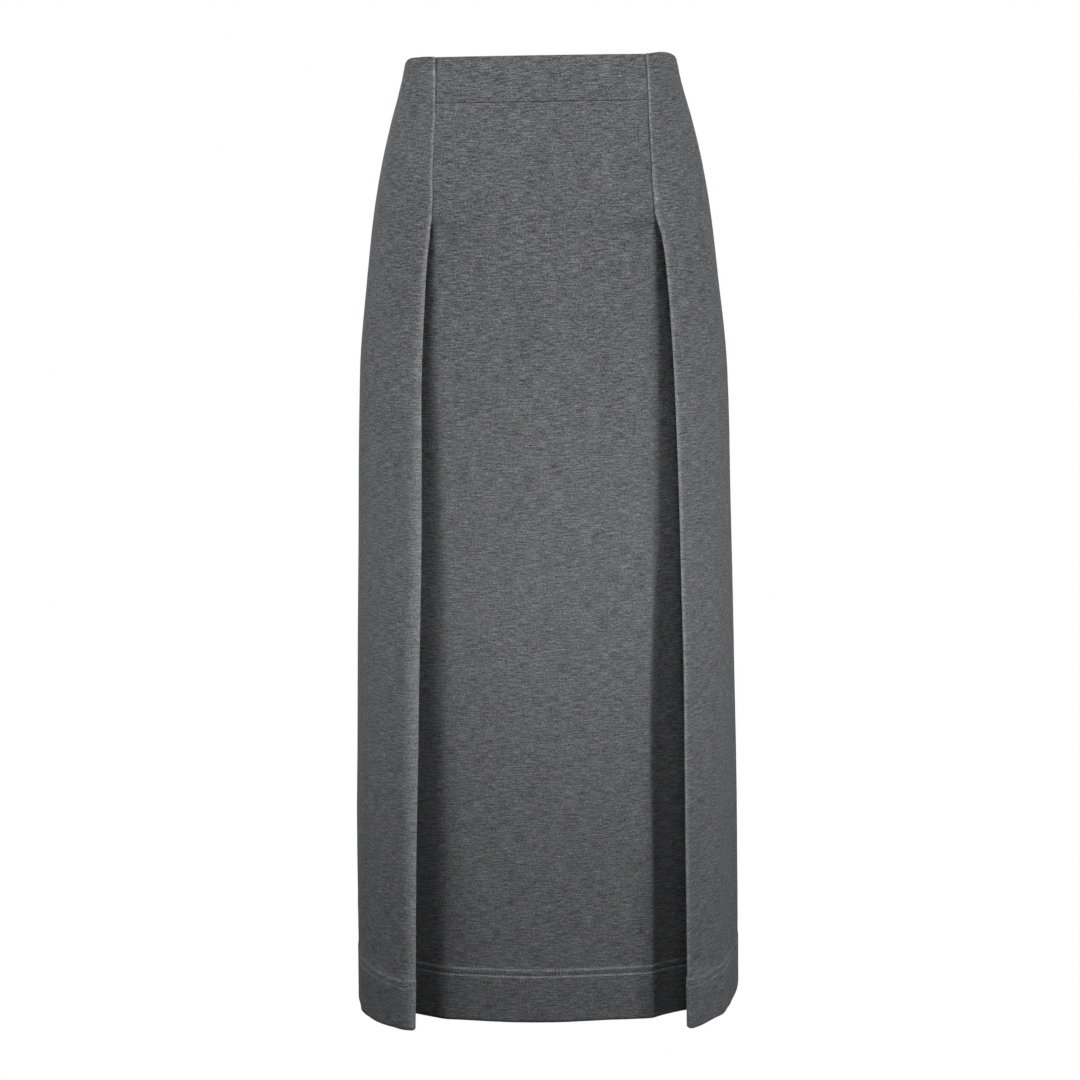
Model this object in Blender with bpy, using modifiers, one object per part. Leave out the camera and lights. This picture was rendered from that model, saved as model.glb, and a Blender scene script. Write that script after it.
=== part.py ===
"""A midi skirt in heavy jersey, held open as it hangs from the waist.

The origin is the middle of the waist opening, level with the top edge. +Z is up, the front
faces -Y, and +X is on the right of someone who looks at the front. Lengths in this file are
millimetres until a mesh is placed. In plan, a point is (across, forward), and a height is
given as its drop below the top edge.
"""

import math

import bmesh
import bpy
import numpy as np

MM = 0.001

# Driving sizes
LENGTH = 880.0  # top edge to hem
CLOTH = 1.5  # one layer of jersey
SEAM_GAP = 0.3  # between neighbouring pieces
BAND_HEIGHT = 41.0  # inset waist band
RELEASE = 142.0  # the pleats are sewn down this far
OPENS_OVER = 45.0  # below the release, how far it takes a pleat to part from the centre panel
HEM_DEPTH = 48.0  # turned up inside every panel
HEM_WALL = 3.0  # a panel and its turned-up hem
HEM_STEP = 3.0  # height over which the wall thickens to that
HEM_CLEAR_OF_EDGE = (4.0, 14.0)  # the hem thins out here, beside a folded edge
FOLD_RADIUS = 1.9  # right side of the cloth, round a pleat's folded edge
SEAM_ALLOWANCE = 11.0  # where a pleat's two hidden layers are sewn to each other
HIDDEN_LEAN = 12.0  # degrees off straight back of a pleat's underlay at the hem
CREASE_HANDLE = 30.0  # how far from its crease the centre panel starts to bend
BACK_SQUARENESS = 2.2  # 2 is an ellipse

# The body of the skirt, a row for each height
RING_COLUMNS = ("drop", "half_width", "front", "back", "pleat_reach")
RING_ROWS = (
    (0, 122.4, 85.0, 84.0, 20),
    (10, 124.8, 86.5, 86.5, 22),
    (30, 130.1, 89.5, 91.0, 27),
    (60, 138.1, 94.0, 97.5, 36),
    (100, 147.6, 100.0, 106.0, 49),
    (145, 155.3, 105.0, 113.5, 61),
    (200, 161.8, 108.5, 118.5, 61),
    (286, 170.2, 110.0, 121.0, 61),
    (400, 173.3, 110.5, 118.5, 61),
    (560, 177.1, 111.0, 116.5, 61),
    (720, 179.9, 111.5, 117.0, 61),
    (880, 180.8, 112.0, 119.0, 61),
)

# The pleats: where the centre panel creases and its slope there, where each folded edge
# hangs, which way its side panel faces there, and how full the side panels are
PLEAT_COLUMNS = (
    "drop", "crease", "crease_depth", "crease_slope", "left_edge", "right_edge",
    "edge_depth", "left_turn", "right_turn", "left_fullness", "edge_handle",
)
PLEAT_ROWS = (
    (0, 95.0, 59.6, 38, 95.0, 95.0, 62.6, 38, 38, 0.37, 0.42),
    (41, 95.0, 69.8, 34, 95.0, 95.0, 73.0, 34, 34, 0.37, 0.42),
    (90, 96.5, 79.9, 30, 96.5, 96.5, 83.0, 30, 30, 0.37, 0.42),
    (142, 99.6, 86.4, 27, 99.3, 100.4, 89.8, 27, 27, 0.37, 0.42),
    (180, 99.4, 89.6, 24, 101.7, 107.7, 90.6, 27, 28, 0.37, 0.41),
    (215, 99.0, 92.0, 22, 103.9, 112.6, 92.2, 28, 29, 0.38, 0.40),
    (300, 98.5, 94.8, 18, 107.9, 117.1, 97.2, 29, 31, 0.39, 0.37),
    (400, 98.0, 96.6, 14, 110.3, 120.2, 104.0, 30, 34, 0.40, 0.34),
    (560, 97.5, 98.0, 11, 114.8, 124.0, 114.0, 30, 39, 0.42, 0.31),
    (720, 97.0, 99.2, 10, 119.2, 126.0, 123.0, 30, 44, 0.43, 0.28),
    (880, 96.8, 100.2, 9, 122.8, 127.8, 130.0, 30, 48, 0.44, 0.26),
)
RIGHT_FULLNESS = 0.37

# Soft folds, each growing downwards from where it starts. On the back panel a fold's place
# is in degrees from the middle, on a side panel in millimetres from the folded edge
FOLD_COLUMNS = ("place", "spread", "height", "starts")
BACK_FOLDS = (
    (-57.0, 11.0, 3.0, 420.0),
    (-27.0, 10.0, 3.8, 330.0),
    (-2.0, 11.0, -2.5, 400.0),
    (25.0, 11.0, 3.4, 360.0),
    (54.0, 12.0, 3.2, 450.0),
)
LEFT_FOLDS = ((84.0, 14.0, 2.0, 420.0),)
RIGHT_FOLDS = ((49.0, 9.0, 3.2, 480.0), (88.0, 13.0, -1.5, 480.0))

# Mesh rows, as drops, and how many faces go along each stretch of cloth in plan
BAND_DROPS = (0.0, 8.0, 24.0, BAND_HEIGHT - SEAM_GAP / 2)
HEM_DROPS = (LENGTH - HEM_DEPTH - HEM_STEP, LENGTH - HEM_DEPTH, 856.0, LENGTH)
BODY_DROPS = (
    66.0, 92.0, 117.0, RELEASE, 160.0, 180.0, 215.0, 256.0, 300.0, 350.0, 400.0,
    455.0, 510.0, 565.0, 620.0, 675.0, 730.0, 782.0,
) + HEM_DROPS
SIDE_DROPS = BAND_DROPS[:-1] + (BAND_HEIGHT,) + BODY_DROPS
CENTRE_DROPS = (BAND_HEIGHT + SEAM_GAP / 2,) + BODY_DROPS
FACES_OUTER, FACES_TURN, FACES_HIDDEN = 13, 5, 7
FACES_CENTRE_HALF, FACES_BACK = 9, 28
FINE_POINTS = 121  # of the curve that a side panel's outer face is read from

# Finish
CLOTH_GREY = (0.130, 0.133, 0.138, 1.0)
CLOTH_ROUGHNESS = 0.93


def columns(names, rows):
    """A table as one array for each named column."""
    return dict(zip(names, np.array(rows, dtype=float).T))


RINGS = columns(RING_COLUMNS, RING_ROWS)
PLEATS = columns(PLEAT_COLUMNS, PLEAT_ROWS)


def at(table, name, drop):
    """A column's value at a drop, on a smooth curve that never overshoots its rows."""
    drops, values = table["drop"], table[name]
    steps = np.diff(drops)
    slopes = np.diff(values) / steps
    tangents = np.empty_like(values)
    tangents[0], tangents[-1] = slopes[0], slopes[-1]
    for i in range(1, len(values) - 1):
        before, after = slopes[i - 1], slopes[i]
        tangents[i] = 2 * before * after / (before + after) if before * after > 0 else 0.0
    i = min(int(np.searchsorted(drops, drop, side="right")) - 1, len(steps) - 1)
    t = (drop - drops[i]) / steps[i]
    return (
        (1 + 2 * t) * (1 - t) ** 2 * values[i]
        + t * (1 - t) ** 2 * steps[i] * tangents[i]
        + t * t * (3 - 2 * t) * values[i + 1]
        + t * t * (t - 1) * steps[i] * tangents[i + 1]
    )


def ease(value, low, high):
    """0 below low, 1 above high, smooth between."""
    t = np.clip((value - low) / (high - low), 0.0, 1.0)
    return t * t * (3 - 2 * t)


def heading(degrees):
    """The unit plan vector that points towards the middle and forwards by this angle."""
    angle = math.radians(degrees)
    return np.array([-math.cos(angle), math.sin(angle)])


def bezier(controls, faces):
    """Points on a cubic curve through four plan points, faces + 1 of them."""
    t = np.linspace(0, 1, faces + 1)[:, None]
    a, b, c, d = np.array(controls)
    return a * (1 - t) ** 3 + 3 * b * t * (1 - t) ** 2 + 3 * c * t * t * (1 - t) + d * t**3


def left_of(path):
    """Unit vectors to the left of a plan path, for someone who walks along it."""
    ahead = np.gradient(path, axis=0)
    ahead /= np.linalg.norm(ahead, axis=1)[:, None]
    return np.stack([-ahead[:, 1], ahead[:, 0]], axis=1)


def walked(path):
    """Distance from the start of a plan path to each of its points."""
    return np.concatenate([[0.0], np.cumsum(np.linalg.norm(np.diff(path, axis=0), axis=1))])


def points_at(path, distances):
    """The points at these distances from the start of a plan path."""
    reach = walked(path)
    return np.stack([np.interp(distances, reach, path[:, k]) for k in (0, 1)], axis=1)


def fold_lift(rows, places, drop):
    """How far soft folds lift the cloth outwards at these places."""
    lift = np.zeros(len(places))
    for row in rows:
        fold = dict(zip(FOLD_COLUMNS, row))
        grown = fold["height"] * ease(drop, fold["starts"], LENGTH)
        lift += grown * np.exp(-(((places - fold["place"]) / fold["spread"]) ** 2))
    return lift


def side_panel_plan(drop, side):
    """A front side panel's right side in plan, on the half with side 1, or -1 mirrored.

    Gives the outer face from the side seam to the folded edge, the turn round that edge, and
    the hidden underlay from the edge to the end of its seam allowance.
    """
    name = "right" if side > 0 else "left"
    fullness = RIGHT_FULLNESS if side > 0 else at(PLEATS, "left_fullness", drop)
    edge = np.array([at(PLEATS, name + "_edge", drop), at(PLEATS, "edge_depth", drop)])
    to_edge = heading(at(PLEATS, name + "_turn", drop))
    outward = np.array([to_edge[1], -to_edge[0]])
    middle = edge - FOLD_RADIUS * to_edge
    last = middle + FOLD_RADIUS * outward
    seam = np.array([at(RINGS, "half_width", drop), SEAM_GAP / 2])
    chord = np.linalg.norm(last - seam)
    bulge = seam + (0.0, fullness * chord)
    arrival = last - at(PLEATS, "edge_handle", drop) * chord * to_edge
    face = bezier((seam, bulge, arrival, last), FINE_POINTS - 1)
    from_edge = walked(face)[-1] - walked(face)
    lift = fold_lift(RIGHT_FOLDS if side > 0 else LEFT_FOLDS, from_edge, drop)
    face = face - left_of(face) * lift[:, None]
    outer = points_at(face, np.linspace(0, walked(face)[-1], FACES_OUTER + 1))

    angles = np.radians(np.linspace(0, 180, FACES_TURN + 1))[1:-1, None]
    turn = middle + FOLD_RADIUS * (np.cos(angles) * outward + np.sin(angles) * to_edge)

    reach = np.linspace(0, at(RINGS, "pleat_reach", drop), FACES_HIDDEN + 1)
    inside = face + left_of(face) * 2 * FOLD_RADIUS
    closed = points_at(inside[::-1], reach)
    opened = closed[0] - reach[:, None] * heading(90 - HIDDEN_LEAN)
    opening = max(drop - RELEASE, 0.0) / (LENGTH - RELEASE)
    return outer, turn, closed + opening * (opened - closed)


def centre_half_plan(drop, side):
    """Half of the centre panel in plan: its face from the middle to the crease, and then the
    extension, which ends against the underlay that it is sewn to."""
    underlay = side_panel_plan(drop, side)[2]
    beside = underlay - left_of(underlay) * SEAM_GAP
    parted = ease(drop, RELEASE, RELEASE + OPENS_OVER)
    crease = np.array([at(PLEATS, "crease", drop), at(PLEATS, "crease_depth", drop)])
    apart = parted * (crease - beside[0])
    reach = walked(beside)
    share = np.clip(1 - reach / (reach[-1] - SEAM_ALLOWANCE), 0, 1)
    extension = beside + share[:, None] * apart
    front = at(RINGS, "front", drop)
    crease = extension[0]
    arrival = crease + CREASE_HANDLE * heading(at(PLEATS, "crease_slope", drop))
    middle = np.array([0.0, front])
    face = bezier((middle, (crease[0] / 2, front), arrival, crease), FACES_CENTRE_HALF)
    return face, extension


def side_panel_path(drop, side):
    """The whole plan path of a side panel, signed, with its right side on the outside."""
    path = np.concatenate(side_panel_plan(drop, side)) * (side, 1)
    return path if side > 0 else path[::-1]


def centre_path(drop):
    """The centre panel's whole plan path, from its right extension's end to its left one's."""
    halves = []
    for side in (1, -1):
        face, extension = centre_half_plan(drop, side)
        halves.append(np.concatenate([face, extension[1:]]) * (side, 1))
    return np.concatenate([halves[0][::-1], halves[1][1:]])


def back_path(drop):
    """The back panel's plan path, from its left side seam to its right one."""
    angles = np.linspace(-90, 90, FACES_BACK + 1)
    across, behind = np.sin(np.radians(angles)), np.cos(np.radians(angles))
    power = 2 / BACK_SQUARENESS
    width, depth = at(RINGS, "half_width", drop), at(RINGS, "back", drop)
    path = np.stack(
        [width * np.sign(across) * np.abs(across) ** power, -depth * np.abs(behind) ** power],
        axis=1,
    )
    path = path - left_of(path) * fold_lift(BACK_FOLDS, angles, drop)[:, None]
    return path - (0.0, SEAM_GAP / 2)


def hem_weights(drop, side=0):
    """How much of the turned-up hem's thickness each point of a path has, from 0 to 1."""
    turned_up = float(drop >= LENGTH - HEM_DEPTH)
    if side == 0:
        return turned_up
    outer, turn, underlay = side_panel_plan(drop, side)
    before_edge = walked(outer)[-1] - walked(outer)
    from_edge = np.concatenate([before_edge, np.zeros(len(turn)), walked(underlay)])
    weights = ease(from_edge, *HEM_CLEAR_OF_EDGE) * turned_up
    return weights if side > 0 else weights[::-1]


def jersey(name):
    """The grey jersey, as a material for one piece."""
    material = bpy.data.materials.new(name + "_jersey")
    material.use_nodes = True
    shader = material.node_tree.nodes["Principled BSDF"]
    shader.inputs["Base Color"].default_value = CLOTH_GREY
    shader.inputs["Roughness"].default_value = CLOTH_ROUGHNESS
    shader.inputs["Metallic"].default_value = 0.0
    return material


def cloth_piece(name, drops, path_at, weight_at, collection):
    """A wall of cloth: a grid laid on one plan path for each drop, thickened inwards."""
    paths = [path_at(drop) for drop in drops]
    faces_along, faces_down = len(paths[0]) - 1, len(drops) - 1
    sheet = bmesh.new()
    bmesh.ops.create_grid(sheet, x_segments=faces_along, y_segments=faces_down, size=0.5)
    layer = sheet.verts.layers.deform.verify()
    for vertex in sheet.verts:
        i = round((vertex.co.x + 0.5) * faces_along)
        j = round((vertex.co.y + 0.5) * faces_down)
        across, forward = paths[j][i] * MM
        vertex.co = (across, -forward, -drops[j] * MM)
        vertex[layer][0] = float(np.broadcast_to(weight_at(drops[j]), len(paths[0]))[i])
    mesh = bpy.data.meshes.new(name)
    sheet.to_mesh(mesh)
    sheet.free()
    mesh.materials.append(jersey(name))
    mesh.shade_smooth()
    piece = bpy.data.objects.new(name, mesh)
    collection.objects.link(piece)
    hem = piece.vertex_groups.new(name="turned_up_hem")
    wall = piece.modifiers.new("wall", "SOLIDIFY")
    wall.thickness = HEM_WALL * MM
    wall.offset = -1.0
    wall.vertex_group = hem.name
    wall.thickness_vertex_group = CLOTH / HEM_WALL
    return piece


def build():
    for old in list(bpy.data.objects):
        bpy.data.objects.remove(old, do_unlink=True)
    skirt = bpy.data.collections.new("skirt")
    bpy.context.scene.collection.children.link(skirt)
    cloth_piece("front_band", BAND_DROPS, centre_path, hem_weights, skirt)
    cloth_piece("front_centre", CENTRE_DROPS, centre_path, hem_weights, skirt)
    for name, side in (("side_front_left", -1), ("side_front_right", 1)):
        cloth_piece(
            name,
            SIDE_DROPS,
            lambda drop, side=side: side_panel_path(drop, side),
            lambda drop, side=side: hem_weights(drop, side),
            skirt,
        )
    cloth_piece("back", SIDE_DROPS, back_path, hem_weights, skirt)


build()
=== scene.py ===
"""The looks of a pleated midi skirt in grey melange jersey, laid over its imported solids.

Lengths are millimetres until a mesh is placed. In plan a point is (across, forward), and a
height is given as its drop below the top edge. In the frame +Z is up and the front faces -Y.
"""

import math

import bpy
import numpy as np
from mathutils import Matrix, Vector, noise


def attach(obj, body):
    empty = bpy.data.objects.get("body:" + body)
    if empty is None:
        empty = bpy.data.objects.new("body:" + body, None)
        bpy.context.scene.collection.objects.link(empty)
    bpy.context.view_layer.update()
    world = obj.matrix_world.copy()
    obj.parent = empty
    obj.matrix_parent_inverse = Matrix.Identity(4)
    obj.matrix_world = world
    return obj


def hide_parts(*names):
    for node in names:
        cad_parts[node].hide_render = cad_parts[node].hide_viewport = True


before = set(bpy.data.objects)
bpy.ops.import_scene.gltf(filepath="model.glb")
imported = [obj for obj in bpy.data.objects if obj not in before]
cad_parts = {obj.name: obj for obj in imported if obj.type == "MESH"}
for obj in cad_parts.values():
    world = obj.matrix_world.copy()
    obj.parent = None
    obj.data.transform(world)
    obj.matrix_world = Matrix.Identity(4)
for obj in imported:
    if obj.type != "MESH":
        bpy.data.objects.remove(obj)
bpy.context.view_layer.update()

MM = 0.001

# Driving sizes, as the solids have them
LENGTH = 880.0  # top edge to hem
CLOTH = 1.5  # one layer of jersey
SEAM_GAP = 0.3  # between neighbouring pieces, but the side seams are pressed shut here
BAND_HEIGHT = 41.0  # inset waist band
RELEASE = 142.0  # the pleats are sewn down this far
OPENS_OVER = 14.0  # below the release, how far it takes a pleat to part from the centre panel
SEWN_ENDS = (RELEASE - 8.0, RELEASE + 12.0)  # the hold of the pleats' seams fades between these
HEM_DEPTH = 48.0  # turned up inside every panel
FOLD_RADIUS = 1.9  # right side of the cloth, round a pleat's folded edge
SEAM_ALLOWANCE = 11.0  # where a pleat's two hidden layers are sewn to each other
HIDDEN_LEAN = 12.0  # degrees off straight back of a pleat's underlay at the hem
CREASE_HANDLE = 30.0  # how far from its crease the centre panel starts to bend
BACK_SQUARENESS = 2.2  # 2 is an ellipse
RIGHT_FULLNESS = 0.37

# The body of the skirt, a row for each height
RING_COLUMNS = ("drop", "half_width", "front", "back", "pleat_reach")
RING_ROWS = (
    (0, 123.8, 85.0, 84.0, 20),
    (9, 125.4, 86.4, 86.3, 22),
    (19, 126.8, 87.9, 88.7, 24),
    (30, 129.4, 89.5, 91.0, 27),
    (60, 138.1, 94.0, 97.5, 36),
    (100, 147.6, 100.0, 106.0, 49),
    (145, 155.3, 105.0, 113.5, 61),
    (200, 161.8, 108.5, 118.5, 61),
    (286, 170.2, 110.0, 121.0, 61),
    (400, 173.3, 110.5, 118.5, 61),
    (560, 177.1, 111.0, 116.5, 61),
    (720, 179.9, 111.5, 117.0, 61),
    (880, 180.8, 112.0, 119.0, 61),
)

# The pleats: how deep the centre panel's creases lie and its slope there, how deep each folded
# edge hangs, which way its side panel faces there, and how full the side panels are
PLEAT_COLUMNS = (
    "drop", "crease_depth", "crease_slope", "edge_depth", "left_turn", "right_turn",
    "left_fullness", "edge_handle",
)
PLEAT_ROWS = (
    (0, 59.6, 38, 62.6, 38, 38, 0.37, 0.42),
    (41, 69.8, 34, 73.0, 34, 34, 0.37, 0.42),
    (90, 79.9, 30, 83.0, 30, 30, 0.37, 0.42),
    (142, 86.4, 27, 89.8, 27, 27, 0.37, 0.42),
    (180, 89.6, 24, 90.6, 27, 28, 0.37, 0.41),
    (215, 92.0, 22, 92.2, 28, 29, 0.38, 0.40),
    (300, 94.8, 18, 97.2, 29, 31, 0.39, 0.37),
    (400, 96.6, 14, 104.0, 30, 34, 0.40, 0.34),
    (560, 98.0, 11, 114.0, 30, 39, 0.42, 0.31),
    (720, 99.2, 10, 123.0, 30, 44, 0.43, 0.28),
    (880, 100.2, 9, 130.0, 30, 48, 0.44, 0.26),
)

# How far from the middle each folded edge and each of the centre panel's creases hangs
EDGE_COLUMNS = ("drop", "left_edge", "right_edge", "left_crease", "right_crease")
EDGE_ROWS = (
    (0, 94.7, 93.8, 95.0, 95.0),
    (14, 94.8, 95.2, 95.0, 95.2),
    (41, 94.9, 95.9, 95.0, 95.5),
    (90, 97.3, 97.6, 96.5, 96.5),
    (142, 98.6, 101.2, 98.4, 99.6),
    (150, 99.8, 103.3, 96.6, 98.0),
    (161, 101.0, 106.6, 95.4, 97.0),
    (180, 103.4, 109.6, 93.6, 96.2),
    (215, 106.2, 112.9, 93.2, 94.8),
    (300, 110.4, 117.9, 93.0, 94.4),
    (400, 111.5, 121.2, 91.6, 96.8),
    (480, 113.4, 123.0, 91.0, 97.2),
    (560, 115.9, 124.8, 91.8, 95.0),
    (620, 117.4, 125.2, 92.4, 94.8),
    (720, 120.4, 125.9, 93.4, 96.0),
    (880, 123.4, 127.6, 96.4, 97.4),
)

# How far each of the centre panel's creases is rounded off, how far the cloth sags back over
# the sag's reach behind it, and a power that is low where it sags most right at the crease
CREASE_COLUMNS = (
    "drop", "left_rounding", "right_rounding", "left_sag", "right_sag", "sag_power",
)
CREASE_ROWS = (
    (0, 0.6, 0.6, 0.0, 0.0, 0.38),
    (RELEASE, 0.8, 0.8, 0.0, 0.0, 0.38),
    (180, 1.8, 1.2, 1.6, 2.8, 0.38),
    (215, 3.2, 1.8, 3.4, 4.8, 0.38),
    (350, 4.6, 3.4, 3.4, 5.0, 0.38),
    (430, 6.0, 2.6, 2.2, 5.4, 0.46),
    (529, 7.5, 2.8, 0.6, 8.6, 0.52),
    (600, 8.0, 3.0, 0.0, 9.4, 0.54),
    (720, 8.5, 3.6, 0.0, 6.4, 0.54),
    (LENGTH, 8.5, 4.6, 0.0, 2.4, 0.54),
)
SAG_REACH = 60.0  # behind a crease

# A pleat's folded edge: its radius, tight where it is sewn down and fattened by the turned-up
# hem, how far the cloth rolls back before the left one, and how wide and how strongly each is
# painted paler, partly fuzz on the fold and partly a painted highlight where the fold meets the light
TURN_COLUMNS = (
    "drop", "fold_radius", "left_roll", "left_fuzz_highlight_width", "left_fuzz_highlight", "right_fuzz_highlight_width", "right_fuzz_highlight",
)
TURN_ROWS = (
    (0, 2.0, 0.0, 1.7, 1.0, 1.5, 0.9),
    (16, 1.7, 0.0, 1.7, 1.0, 1.6, 0.9),
    (40, 1.6, 0.0, 1.8, 1.0, 1.9, 0.9),
    (100, 1.6, 0.0, 2.2, 1.0, 2.4, 0.9),
    (RELEASE, 1.6, 0.0, 3.2, 0.9, 4.0, 0.9),
    (180, 1.75, 0.2, 4.2, 1.0, 2.8, 1.0),
    (215, 1.8, 0.6, 5.0, 0.86, 2.4, 1.0),
    (300, FOLD_RADIUS, 1.2, 7.0, 0.66, 2.4, 0.98),
    (400, FOLD_RADIUS, 1.6, 8.5, 0.6, 2.4, 0.96),
    (560, FOLD_RADIUS, 2.2, 9.5, 0.66, 2.4, 0.8),
    (720, FOLD_RADIUS, 2.2, 9.0, 0.74, 2.3, 0.74),
    (818, FOLD_RADIUS, 2.2, 8.5, 0.76, 2.2, 0.74),
    (836, 3.7, 2.2, 7.0, 0.76, 2.2, 0.6),
    (LENGTH, 3.7, 2.2, 7.0, 0.72, 2.4, 0.5),
)
ROLL_REACH = 13.0  # before the folded edge

# Soft folds, each growing downwards from where it starts. On the back panel a fold's place
# is in degrees from the middle, on a side panel in millimetres from the folded edge
FOLD_COLUMNS = ("place", "spread", "height", "starts")
BACK_FOLDS = (
    (-57.0, 11.0, 3.0, 420.0),
    (-27.0, 10.0, 3.8, 330.0),
    (-2.0, 11.0, -2.5, 400.0),
    (25.0, 11.0, 3.4, 360.0),
    (54.0, 12.0, 3.2, 450.0),
)
LEFT_FOLDS = ((84.0, 14.0, 2.0, 420.0),)
RIGHT_FOLDS = ((49.0, 11.0, 2.8, 480.0), (88.0, 13.0, -1.5, 480.0))

# The looser creases and hollows of worn jersey, in millimetres along the cloth from a panel's
# own zero: the folded edge, or the middle of the centre and the back. They count from the
# wearer's left, so that the right side panel's are negative
HOLLOW_COLUMNS = ("place", "drift", "spread", "top", "bottom", "height")
CENTRE_HOLLOWS = (
    (-14.0, 22.0, 26.0, 60.0, 235.0, -0.9),
    (-60.0, -8.0, 24.0, 150.0, 520.0, 0.7),
    (58.0, 14.0, 30.0, 380.0, 760.0, 0.8),
    (-6.0, 10.0, 34.0, 560.0, 860.0, -0.9),
    (76.0, -6.0, 12.0, 640.0, 872.0, 0.7),
)
LEFT_HOLLOWS = (
    (12.0, 2.0, 9.0, 160.0, 1100.0, 1.2),
    (30.0, 5.0, 13.0, 260.0, 700.0, -0.6),
    (58.0, -6.0, 15.0, 520.0, 872.0, 0.8),
    (72.0, 12.0, 22.0, 40.0, 300.0, 0.7),
)
RIGHT_HOLLOWS = (
    (-24.0, 3.0, 12.0, 300.0, 660.0, -0.7),
    (-70.0, -8.0, 20.0, 50.0, 320.0, 0.7),
    (-30.0, -4.0, 10.0, 640.0, 872.0, 0.6),
)
BACK_HOLLOWS = (
    (-70.0, 18.0, 34.0, 90.0, 420.0, 1.3),
    (44.0, -20.0, 30.0, 120.0, 470.0, -1.2),
    (8.0, 10.0, 40.0, 20.0, 220.0, -1.1),
    (120.0, 12.0, 26.0, 240.0, 640.0, 1.2),
    (-140.0, -10.0, 28.0, 300.0, 700.0, -1.2),
)
RIPPLE = (52.0, 130.0, 0.55)  # broad unevenness: across, down, height
DIMPLE = (11.0, 17.0, 0.10)  # and the finer unevenness of a soft knit
SEAM_CALM = 18.0  # creases and unevenness fade this close to a panel's seams
FOLD_CALM = (3.0, 16.0)  # they and the stitches' pull set in this far from a folded edge

# The top edge and the hem
CORNER_DIP, CORNER_REACH = 5.0, 10.0  # the top edge rounds down to each side seam
PROUD_TOPS = {"left": (10.0, 13.0, 0.6), "right": (-19.0, 14.0, 1.6)}  # place, spread, height
TOP_FADE = 26.0  # below the top edge these are gone
TOP_TILT = 0.0075  # the whole top hangs this much lower to the left, for each millimetre across
TILT_STARTS, TILT_ENDS = 60.0, 160.0
HEM_TURN = 1.65  # right side of the cloth, round the hem's lower fold
HEM_WAVE, HEM_WAVE_LENGTH, WAVE_STARTS = 0.7, 60.0, 800.0
DIPS_START = 780.0  # above this the hem's own dips are gone
HEM_DIPS = {"left": (0.0, 70.0, 2.2), "right": (0.0, 34.0, 1.4)}  # place, spread, depth
SEAM_HITCHES = ((-1, -3.5, 45.0), (1, 6.5, 11.0))  # side, hem raised at its seam, reach
FOLD_LUMP, FOLD_LUMP_LENGTH = 0.32, 9.0  # unevenness of the sewn part of a folded edge

# Topstitching: two sunk rows through the turned-up hem, which stands proud of the cloth above
STITCH_DROPS = (829.3, 835.6)
STITCH_SINK, STITCH_WIDTH = 0.55, 0.65
HEM_PROUD, HEM_STARTS, HEM_STEP = 0.5, 827.3, 1.9
STITCH_PITCH, STITCH_LENGTH, THREAD_RADIUS = 3.1, 2.1, 0.3
ROWS_DIP, ROWS_DIP_OVER = 5.4, 62.0  # the rows run down to a folded edge by this much
ROWS_DIP_STARTS = 740.0
SEWING_MARGIN, SEWING_STEP = 2.0, 1.0  # a row of stitches stops this short of a panel's ends
STITCH_PROUD = 0.1  # off the sunk cloth
LOOPER_PITCH, LOOPER_RADIUS, LOOPER_PROUD = 1.55, 0.16, 1.3  # the zigzag inside the hem

# Painted highlight: pale cloth a little below each row of stitches, where the cloth's upper slope
# meets the light
STITCH_HIGHLIGHT, SIDE_STITCH_HIGHLIGHT, STITCH_HIGHLIGHT_WIDTH, STITCH_HIGHLIGHT_BELOW = 0.7, 0.3, 0.8, 1.0
# Painted light in the shaded ditch beside the sewn part of a pleat
SEAM_PAINTED_LIGHT, SEAM_PAINTED_LIGHT_WIDTH = 1.0, 1.6  # and beside the sewn part of a pleat

# Mesh spacing
ROW_STEP, ROW_STEP_AT_STITCHES, STITCH_ZONE = 4.2, 0.42, 3.5
OUTER_STEP, HIDDEN_STEP, TURN_FACES, CREASE_STEP = 2.6, 3.4, 12, 1.5
BACK_STEP, BAND_STEP, HEM_FOLD_FACES = 3.4, 2.2, 8
DENSE = 121  # points of a curve that a row is read from
SOFTEN_STEP = 0.6
EDGE_ROUNDING, EDGE_ANGLE = 0.5, 55.0  # edges of the cloth's wall, sharper than this

# The knit's own wales and courses, and how far off the stitches pull on them
WALE, COURSE, PULL_REACH = 1.3, 1.0, 6.0
CUT_STARTS, CUT_STEP = 0.4, 0.9  # where each panel is cut from the cloth, in metres along it


def columns(names, rows):
    """A table as one array for each named column."""
    return dict(zip(names, np.array(rows, dtype=float).T))


RINGS = columns(RING_COLUMNS, RING_ROWS)
PLEATS = columns(PLEAT_COLUMNS, PLEAT_ROWS)
EDGES = columns(EDGE_COLUMNS, EDGE_ROWS)
CREASES = columns(CREASE_COLUMNS, CREASE_ROWS)
TURNS = columns(TURN_COLUMNS, TURN_ROWS)


def at(table, name, drop):
    """A column's value at a drop, on a smooth curve that never overshoots its rows."""
    drops, values = table["drop"], table[name]
    steps = np.diff(drops)
    slopes = np.diff(values) / steps
    tangents = np.empty_like(values)
    tangents[0], tangents[-1] = slopes[0], slopes[-1]
    for i in range(1, len(values) - 1):
        before, after = slopes[i - 1], slopes[i]
        tangents[i] = 2 * before * after / (before + after) if before * after > 0 else 0.0
    i = min(int(np.searchsorted(drops, drop, side="right")) - 1, len(steps) - 1)
    t = (drop - drops[i]) / steps[i]
    return (
        (1 + 2 * t) * (1 - t) ** 2 * values[i]
        + t * (1 - t) ** 2 * steps[i] * tangents[i]
        + t * t * (3 - 2 * t) * values[i + 1]
        + t * t * (t - 1) * steps[i] * tangents[i + 1]
    )


def ease(value, low, high):
    """0 below low, 1 above high, smooth between."""
    t = np.clip((value - low) / (high - low), 0.0, 1.0)
    return t * t * (3 - 2 * t)


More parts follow.
